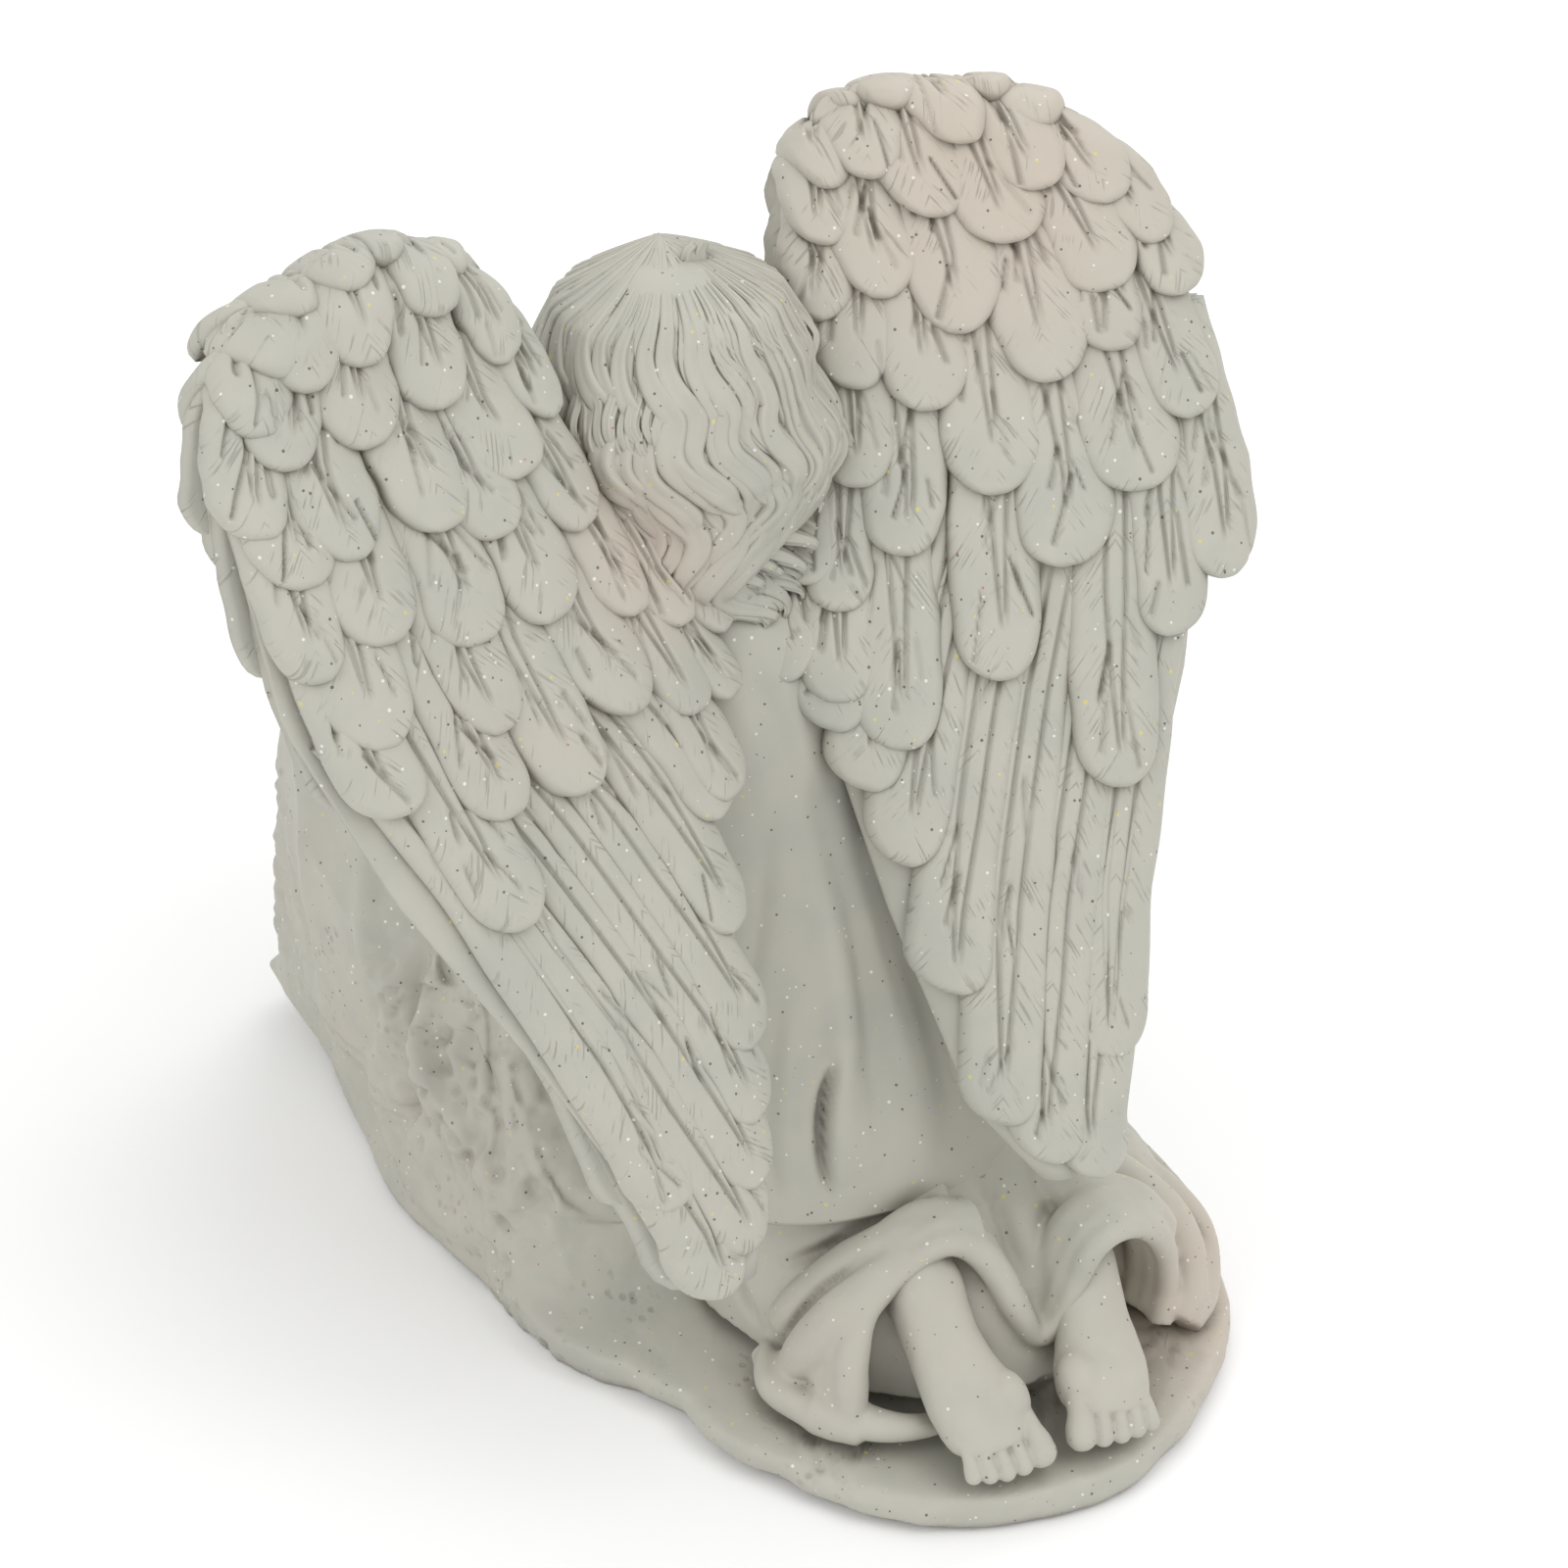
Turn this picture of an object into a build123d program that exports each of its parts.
"""Kneeling angel figurine in cast resin: an angel in a long robe sits on its heels on a rock
base, its arms resting on a tall rock in front of it. Every casting is its own solid, and they
meet face to face at glue faces.

Frame: +Z up, the base stands on z = 0 and the origin is below the angel's back. The angel faces
-Y and its left hand is on +X. All sizes are in millimetres.
"""

import os
from math import cos, radians, sin

from build123d import *

# Driving dimensions
base_thickness = 12.0
base_edge_radius = 6.0
base_length = 214.0
base_width = 134.0
rock_height = 100.0
rock_length = 88.0
rock_width = 112.0
seat_height = 46.0  # from the ground to the crease where the robe's back meets the lap
lap_height = 64.0
lap_length = 122.0
lap_width = 82.0
hip_width = 70.0
hip_depth = 46.0
waist_width = 54.0
shoulder_width = 70.0
shoulder_depth = 32.0
collar_width = 26.0
torso_height = 114.0  # from the seat up to the collar
forward_lean = 26.0  # how far the collar stands in front of the hips
side_lean = 20.0  # how far the collar stands to the angel's left of the hips
neck_radius = 7.5
neck_plug = 8.0  # how deep the neck goes into the collar
skull_radius = 15.5
skull_height = 42.0
skull_forward = 6.0  # how far the skull's middle stands in front of the neck
hair_cover = 4.0  # thickness of the hair over the skull
hair_drop = 36.0  # how far the locks hang below the skull's middle
right_wing_length = 187.0
left_wing_length = 180.0
right_wing_lean = 24.0  # degrees the wing's top leans forward
left_wing_lean = 20.0
wing_width = 70.0
wing_thickness = 10.0
wing_spread = 52.0  # from the body's middle line to a wing's, at its widest
wing_sweep = 17.0  # degrees a wing's outer edge stands back
wing_tilt = 0.065  # how far the pair of wings leans to the angel's left, per unit of length
tongue_height = 26.0  # of the tongue on a wing's inner edge that is glued into the back
tongue_thickness = 6.0
tongue_reach = 16.0
sleeve_radius = 10.5
wrist_radius = 5.5
upper_arm_length = 56.0
forearm_length = 34.0
elbow_spread = 6.0  # how far an elbow stands outside its shoulder
elbow_sink = 1.5  # how far a sleeve is let into the top of the rock
hand_length = 27.0
hand_width = 15.0
palm_thickness = 7.0
foot_length = 36.0
foot_width = 17.0
foot_spacing = 20.0
foot_slope = 44.0  # degrees a sole rises from the toes to the heel
left_foot_splay = 5.0  # degrees a heel stands out sideways
right_foot_splay = 13.0
heel_thickness = 16.0
toe_rise = 3.4  # how far the sole's face stands out from the line through the toes

# Places worked out from the driving dimensions
base_centre = Vector(-9, -29)
rock_centre = Vector(6, base_centre.Y - base_length / 2 + rock_length / 2 + 4, base_thickness)
rock_top = base_thickness + rock_height
hips = Vector(-7, 12, seat_height)
collar = hips + Vector(side_lean, -forward_lean, torso_height)
shoulders = hips + (collar - hips) * 0.9
skull = collar + Vector(0, -skull_forward, skull_height / 2 + 1)
lap_centre = Vector(hips.X - 11, 1, base_thickness)
toes = Vector(hips.X - 10, lap_centre.Y + lap_length / 2 + 10, base_thickness)

# Rock base: a low slab with an uneven rim, round at the feet and wide under the tall rock.
# Each rim point is a share of half the width and half the length.
rim_shares = [
    (0.06, 0.99),
    (-0.31, 0.99),
    (-0.69, 0.84),
    (-0.91, 0.63),
    (-1.00, 0.32),
    (-0.97, -0.29),
    (-0.76, -0.78),
    (-0.16, -1.00),
    (0.58, -0.96),
    (0.93, -0.76),
    (1.00, -0.48),
    (0.98, -0.15),
    (0.90, 0.14),
    (0.73, 0.31),
    (0.54, 0.48),
    (0.46, 0.70),
    (0.33, 0.87),
]
rim = [base_centre + Vector(x * base_width / 2, y * base_length / 2) for x, y in rim_shares]

with BuildPart() as rock_base:
    with BuildSketch():
        with BuildLine():
            Spline(*rim, periodic=True)
        make_face()
    extrude(amount=base_thickness)
    fillet(rock_base.faces().sort_by(Axis.Z)[-1].edges(), base_edge_radius)
rock_base.part.label = "rock_base"

# Tall rock: rough-hewn rings of eight corners, flat on top for the arms, with a foot that slopes
# back beside the lap. Corners are shares of half the width and half the length.
rock_foot = [(-0.6, 1.0), (0.3, 2.1), (0.5, 2.2), (0.88, 0.2), (0.86, -0.8), (-0.5, -1.0)]
rock_foot += [(-0.9, -0.6), (-0.95, 0.5)]
rock_waist = [(-0.6, 0.9), (0.5, 1.2), (0.9, 0.9), (0.96, 0.0), (0.86, -0.8), (-0.5, -0.9)]
rock_waist += [(-0.9, -0.4), (-0.9, 0.4)]
rock_head = [(-0.5, 0.9), (0.7, 0.9), (0.92, 0.5), (0.98, -0.3), (0.5, -0.8), (-0.4, -0.8)]
rock_head += [(-0.8, -0.3), (-0.8, 0.4)]
with BuildPart() as tall_rock:
    for level, corners in ((0.0, rock_foot), (0.5, rock_waist), (1.0, rock_head)):
        with BuildSketch(Plane(rock_centre).offset(level * rock_height)):
            points = [(x * rock_width / 2, y * rock_length / 2) for x, y in corners]
            Polygon(*points, align=None)
    loft(ruled=True)
tall_rock.part.label = "tall_rock"

# Head: an egg-shaped skull on a neck whose lower end plugs into the collar. Each row is a share
# of the skull's height from its middle, then a share of its radius.
head_rows = [(0.50, 0.25), (0.44, 0.62), (0.26, 0.93), (0.05, 1.00), (-0.20, 0.86), (-0.40, 0.58)]
head_rows += [(-0.49, 0.28)]
with BuildPart() as head:
    for level, width in head_rows:
        with BuildSketch(Plane(skull).offset(level * skull_height)):
            Circle(width * skull_radius)
    loft()
    with BuildSketch(Plane(collar).offset(-neck_plug)):
        Circle(neck_radius)
    extrude(amount=neck_plug + skull_height / 3)
head.part.label = "head"

# Wings: lens-shaped sections along a line that leans forward at the top and narrows to a tip low
# behind the hips, and a tongue on the inner edge. Each row is a share of the length up from the
# tip, then shares of the spread, the width and the thickness.
wing_rows = [
    (0.00, 0.58, 0.10, 0.40),
    (0.07, 0.58, 0.36, 0.60),
    (0.26, 0.66, 0.66, 0.80),
    (0.46, 0.80, 0.98, 1.00),
    (0.64, 0.95, 1.07, 1.00),
    (0.84, 1.03, 0.92, 1.00),
    (0.96, 1.00, 0.60, 0.80),
    (1.00, 0.98, 0.20, 0.50),
]
tongue_level = 0.46
wing_tip = hips + Vector(11, 41, 8)
wings = []
for side, name, length, lean in (
    (1, "left_wing", left_wing_length, left_wing_lean),
    (-1, "right_wing", right_wing_length, right_wing_lean),
):
    upward = Vector(wing_tilt, -sin(radians(lean)), cos(radians(lean)))
    across = Vector(side * cos(radians(wing_sweep)), sin(radians(wing_sweep)), 0)
    with BuildPart() as wing:
        for level, spread, width, thickness in wing_rows:
            middle = wing_tip + upward * (level * length) + Vector(side * spread * wing_spread, 0)
            with BuildSketch(Plane(middle, x_dir=across, z_dir=upward)):
                Ellipse(width * wing_width / 2, thickness * wing_thickness / 2)
            if level == tongue_level:
                tongue = middle - across * (wing_width / 2 - tongue_thickness)
        loft()
        with BuildSketch(Plane(tongue, x_dir=(1, 0, 0), z_dir=(0, -1, 0))):
            SlotOverall(tongue_height, tongue_thickness, rotation=90)
        extrude(amount=tongue_reach)
        add(head.part, mode=Mode.SUBTRACT)
    wing.part.label = name
    wings.append(wing)

# Torso: the robe's upper part, from the seat up the leaning back to the shoulders and the
# collar. Each row is a share of the height, then the width and the depth.
torso_rows = [
    (0.00, hip_width, hip_depth),
    (0.20, hip_width * 0.96, hip_depth * 0.94),
    (0.48, waist_width, hip_depth * 0.76),
    (0.74, shoulder_width * 0.86, shoulder_depth * 1.16),
    (0.90, shoulder_width, shoulder_depth),
    (1.00, collar_width, collar_width * 0.8),
]
with BuildPart() as torso:
    for level, width, depth in torso_rows:
        with BuildSketch(Plane(hips + (collar - hips) * level)):
            Ellipse(width / 2, depth / 2)
    loft()
    add([head.part, *[wing.part for wing in wings]], mode=Mode.SUBTRACT)
torso.part.label = "torso"

# Feet: bare soles that face back and up, toes on the base and ankles under the hem. Each row is
# a share of the length up from the toes, then shares of the width and of the heel's thickness.
foot_rows = [
    (0.00, 0.80, 0.24),
    (0.10, 1.00, 0.40),
    (0.28, 1.00, 0.52),
    (0.62, 0.76, 0.72),
    (0.86, 0.84, 1.00),
    (1.00, 0.50, 0.60),
]
sole = Vector(0, sin(radians(foot_slope)), cos(radians(foot_slope)))
feet = []
for side, name, splay in (
    (1, "left_foot", left_foot_splay),
    (-1, "right_foot", right_foot_splay),
):
    outward = side * sin(radians(splay))
    foot_axis = Vector(outward, -cos(radians(foot_slope)), sin(radians(foot_slope)))
    with BuildPart() as foot:
        for level, width, thickness in foot_rows:
            height = thickness * heel_thickness
            middle = toes + Vector(side * foot_spacing / 2, 0) + foot_axis * (level * foot_length)
            middle -= sole * (height / 2 - toe_rise)
            with BuildSketch(Plane(middle, x_dir=(1, 0, 0), z_dir=foot_axis)):
                Ellipse(width * foot_width / 2, height / 2)
        loft()
        add(rock_base.part, mode=Mode.SUBTRACT)
    foot.part.label = name
    feet.append(foot)

# Skirt: the thighs and calves under cloth, highest at the thighs, ending in a hem round the
# ankles. Each row is a share of the height, how far forward it stands, then shares of the length
# and the width.
lap_rows = [(0.0, 0, 1.00, 1.00), (0.35, 3, 0.94, 0.96), (0.66, 12, 0.76, 0.86), (1.00, 24, 0.38, 0.60)]
with BuildPart() as skirt:
    for level, forward, length, width in lap_rows:
        row_centre = lap_centre + Vector(0, -forward, level * (lap_height - base_thickness))
        with BuildSketch(Plane(row_centre)):
            Ellipse(width * lap_width / 2, length * lap_length / 2)
    loft()
    add([tall_rock.part, torso.part, *[piece.part for piece in wings + feet]], mode=Mode.SUBTRACT)
skirt.part.label = "skirt"

# Hair: a cap over the skull that runs down behind the neck into loose locks. Each row is a height
# above the skull's middle, then shares of the half width and half depth, and how far back it
# stands.
hair_rows = [
    (skull_height * 0.52, 0.35, 0.35, 3),
    (skull_height * 0.38, 0.90, 0.88, 4),
    (0.0, 1.08, 0.95, 7),
    (hair_drop * -0.45, 1.04, 0.60, 14),
    (hair_drop * -0.80, 0.80, 0.36, 19),
    (hair_drop * -1.05, 0.40, 0.20, 21),
]
with BuildPart() as hair:
    for height, width, depth, back in hair_rows:
        with BuildSketch(Plane(skull + Vector(0, back, height))):
            Ellipse(width * (skull_radius + hair_cover), depth * (skull_radius + hair_cover))
    loft()
    add([head.part, torso.part, *[wing.part for wing in wings]], mode=Mode.SUBTRACT)
hair.part.label = "hair"

# Arms: wide sleeves from the shoulders to elbows that rest on the tall rock, and hands held palm
# to palm. Hand rows are a share of the way from wrist to fingertips, then shares of the hand's
# width and the palm's thickness. Sleeve shares are of the sleeve's radius.
hand_rows = [(-0.25, 0.6, 0.8), (0.2, 0.9, 1.0), (0.6, 0.8, 0.8), (1.0, 0.4, 0.5)]
shoulder_share = 1.1
arm_share = 0.95
elbow_share = 0.9
cuff_level = 0.75  # the cuff's place on the way from the elbow to the wrist
arms = []
for side, name in ((1, "left"), (-1, "right")):
    shoulder = shoulders + Vector(side * (shoulder_width / 2 - sleeve_radius), 0)
    elbow = Vector(shoulder.X + side * elbow_spread, shoulder.Y - upper_arm_length * 0.84)
    elbow.Z = rock_top + sleeve_radius - elbow_sink
    inward = collar.X + side * wrist_radius - elbow.X
    wrist = elbow + Vector(inward, -forearm_length * 0.6, forearm_length * 0.2)
    cuff = elbow + (wrist - elbow) * cuff_level
    to_middle = collar.X - wrist.X + side * palm_thickness / 2
    fingers = Vector(to_middle, -hand_length * 0.5, hand_length * 0.85)
    with BuildPart() as hand:
        for place in (elbow, wrist):
            with BuildSketch(Plane(place, z_dir=wrist - elbow)):
                Circle(wrist_radius)
        loft()
        for level, width, thickness in hand_rows:
            with BuildSketch(Plane(wrist + fingers * level, x_dir=(1, 0, 0), z_dir=fingers)):
                Ellipse(thickness * palm_thickness, width * hand_width / 2)
        loft()
        half = Keep.TOP if side > 0 else Keep.BOTTOM
        split(bisect_by=Plane.YZ.offset(collar.X), keep=half)
    hand.part.label = f"{name}_hand"
    upper_arm = [(shoulder, shoulder_share), ((shoulder + elbow) / 2, arm_share)]
    with BuildPart() as sleeve:
        for place, share in (*upper_arm, (elbow, elbow_share)):
            with BuildSketch(Plane(place, z_dir=elbow - shoulder)):
                Circle(share * sleeve_radius)
        loft()
        for place, share in ((elbow, elbow_share), (cuff, 1.0)):
            with BuildSketch(Plane(place, z_dir=wrist - elbow)):
                Circle(share * sleeve_radius)
        loft()
        with Locations(elbow):
            Sphere(sleeve_radius * arm_share)
        neighbours = [torso.part, tall_rock.part, hand.part, *[wing.part for wing in wings]]
        add(neighbours, mode=Mode.SUBTRACT)
    sleeve.part.label = f"{name}_sleeve"
    arms += [hand, sleeve]

os.makedirs("parts", exist_ok=True)
for piece in (rock_base, tall_rock, torso, skirt, head, hair, *wings, *arms, *feet):
    export_step(piece.part, f"parts/{piece.part.label}.step")
